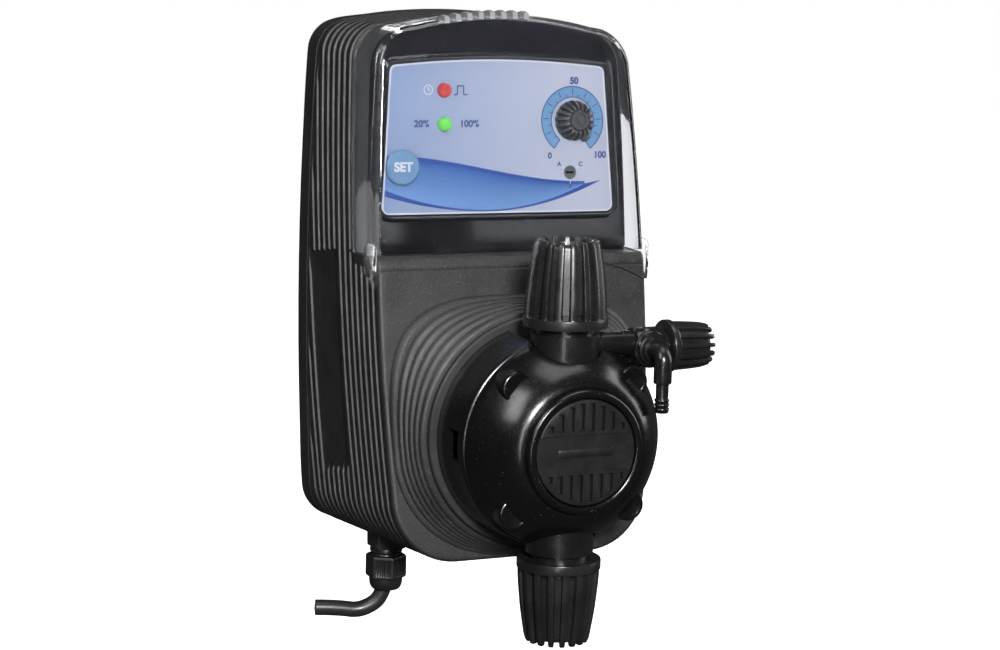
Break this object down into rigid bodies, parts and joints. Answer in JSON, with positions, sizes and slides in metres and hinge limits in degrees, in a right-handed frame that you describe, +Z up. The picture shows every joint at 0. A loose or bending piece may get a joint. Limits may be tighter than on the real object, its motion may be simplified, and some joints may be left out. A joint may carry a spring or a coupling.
{
  "type": "solenoid diaphragm dosing pump",
  "caption": "Wall-mounted dosing pump with a ribbed housing, hinged clear cover over its panel, domed diaphragm head, tube nuts above and below, and a bleed knob.",
  "frame": {"origin": "on the wall face of the bracket, midway between its four screw holes", "axes": "+X to the right seen from the front, +Y into the wall, +Z up; the pump head points along -Y"},
  "size_m": [0.1297, 0.153, 0.2511],
  "materials": {
    "bracket_grey": "satin moulded",
    "housing_black": "fine grain",
    "gasket_rubber": "matte",
    "steel_zinc": "zinc plated",
    "clear_lid": "polished clear polycarbonate",
    "bezel_black": "semi-gloss",
    "label_print": "printed film",
    "lamp_red": "diffused lens",
    "lamp_green": "diffused lens",
    "button_blue": "satin",
    "knob_dark": "satin",
    "selector_grey": "satin",
    "component_black": "satin",
    "board_green": "solder mask",
    "lead_brown": "insulation",
    "steel_yoke": "plated",
    "bobbin_nylon": "natural",
    "copper_coil": "enamelled copper wire",
    "stainless": "ground",
    "bumper_rubber": "matte",
    "plate_black": "grained",
    "head_plastic": "satin",
    "cover_gloss": "polished",
    "badge_matte": "satin",
    "ball_ceramic": "polished",
    "nut_black": "satin",
    "gland_black": "satin",
    "cable_black": "satin sheath"
  },
  "bodies": {
    "pump_body": {"wall_bracket": "bracket_grey", "front_housing": "housing_black", "rear_cover": "housing_black", "rear_gasket": "gasket_rubber", "housing_screws": "steel_zinc", "board_screws": "steel_zinc", "cover_hinge_pins": "steel_zinc", "head_screws": "steel_zinc", "panel_bezel": "bezel_black", "panel_label": "label_print", "pulse_lamp": "lamp_red", "power_lamp": "lamp_green", "set_switch": "component_black", "potentiometer": "component_black", "selector_switch": "component_black", "board_components": "component_black", "terminal_block": "component_black", "control_board": "board_green", "cable_leads": "lead_brown", "solenoid_yoke": "steel_yoke", "pole_plate": "steel_yoke", "coil_bobbin": "bobbin_nylon", "guide_bush": "bobbin_nylon", "coil_winding": "copper_coil", "return_spring": "stainless", "stroke_bumper": "bumper_rubber", "gland_seal": "bumper_rubber", "bleed_o_ring": "bumper_rubber", "head_back_plate": "plate_black", "pump_head_body": "head_plastic", "bleed_body": "head_plastic", "bleed_elbow": "head_plastic", "discharge_nozzle": "head_plastic", "suction_nozzle": "head_plastic", "discharge_valve_body": "head_plastic", "suction_valve_body": "head_plastic", "head_cover": "cover_gloss", "head_badge": "badge_matte", "gland_body": "gland_black", "gland_nut": "gland_black", "gland_locknut": "gland_black", "power_cable": "cable_black"},
    "clear_cover": {"clear_cover": "clear_lid"},
    "flow_knob": {"flow_knob": "knob_dark", "potentiometer_shaft": "selector_grey"},
    "range_selector": {"range_selector": "selector_grey"},
    "set_button": {"set_button": "button_blue"},
    "solenoid_plunger": {"solenoid_plunger": "steel_yoke", "push_rod": "stainless", "diaphragm": "bumper_rubber", "diaphragm_insert": "stainless"},
    "discharge_ball": {"discharge_ball": "ball_ceramic"},
    "suction_ball": {"suction_ball": "ball_ceramic"},
    "discharge_ferrule": {"discharge_ferrule": "head_plastic"},
    "discharge_tube_nut": {"discharge_tube_nut": "nut_black"},
    "suction_ferrule": {"suction_ferrule": "head_plastic"},
    "suction_tube_nut": {"suction_tube_nut": "nut_black"},
    "bleed_needle": {"bleed_needle": "head_plastic"},
    "bleed_knob": {"bleed_knob": "nut_black"}
  },
  "joints": [
    {"name": "cover_hinge", "type": "hinge", "parent": "pump_body", "child": "clear_cover", "pos_m": [0, -0.078, 0.01], "axis": [1, 0, 0], "range_deg": [0, 55]},
    {"name": "flow_knob_turn", "type": "hinge", "parent": "pump_body", "child": "flow_knob", "pos_m": [0.0326, -0.06404, 0.0666], "axis": [0, -0.9976, 0.0698], "range_deg": [0, 290]},
    {"name": "range_selector_turn", "type": "hinge", "parent": "pump_body", "child": "range_selector", "pos_m": [0.0315, -0.06551, 0.0456], "axis": [0, -0.9976, 0.0698], "range_deg": [-120, 120]},
    {"name": "set_button_press", "type": "slide", "parent": "pump_body", "child": "set_button", "axis": [0, 0.9976, -0.0698], "range_m": [0, 0.0007], "stiffness_N_per_m": 900, "springref_m": -0.0008},
    {"name": "plunger_stroke", "type": "slide", "parent": "pump_body", "child": "solenoid_plunger", "axis": [0, -1, 0], "range_m": [0, 0.00125], "stiffness_N_per_m": 6000, "springref_m": -0.003, "deforming": ["return_spring", "diaphragm"]},
    {"name": "discharge_ball_lift", "type": "slide", "parent": "pump_body", "child": "discharge_ball", "axis": [0, 0, 1], "range_m": [0, 0.0015]},
    {"name": "suction_ball_lift", "type": "slide", "parent": "pump_body", "child": "suction_ball", "axis": [0, 0, 1], "range_m": [0, 0.0015]},
    {"name": "discharge_ferrule_travel", "type": "slide", "parent": "pump_body", "child": "discharge_ferrule", "axis": [0, 0, 1], "range_m": [0, 0.005]},
    {"name": "discharge_nut_turn", "type": "hinge", "parent": "discharge_ferrule", "child": "discharge_tube_nut", "pos_m": [0, -0.131, 0.01], "axis": [0, 0, 1], "range_deg": [0, 720]},
    {"name": "suction_ferrule_travel", "type": "slide", "parent": "pump_body", "child": "suction_ferrule", "axis": [0, 0, -1], "range_m": [0, 0.005]},
    {"name": "suction_nut_turn", "type": "hinge", "parent": "suction_ferrule", "child": "suction_tube_nut", "pos_m": [0, -0.131, -0.114], "axis": [0, 0, -1], "range_deg": [0, 720]},
    {"name": "bleed_needle_travel", "type": "slide", "parent": "pump_body", "child": "bleed_needle", "axis": [1, 0, 0], "range_m": [0, 0.002]},
    {"name": "bleed_knob_turn", "type": "hinge", "parent": "bleed_needle", "child": "bleed_knob", "pos_m": [0.05, -0.131, -0.0165], "axis": [1, 0, 0], "range_deg": [0, 720]}
  ],
  "couplings": [
    {"joint": "discharge_ferrule_travel", "follows": "discharge_nut_turn", "m_per_rad": 0.00039788},
    {"joint": "suction_ferrule_travel", "follows": "suction_nut_turn", "m_per_rad": 0.00039788},
    {"joint": "bleed_needle_travel", "follows": "bleed_knob_turn", "m_per_rad": 0.00015915}
  ]
}
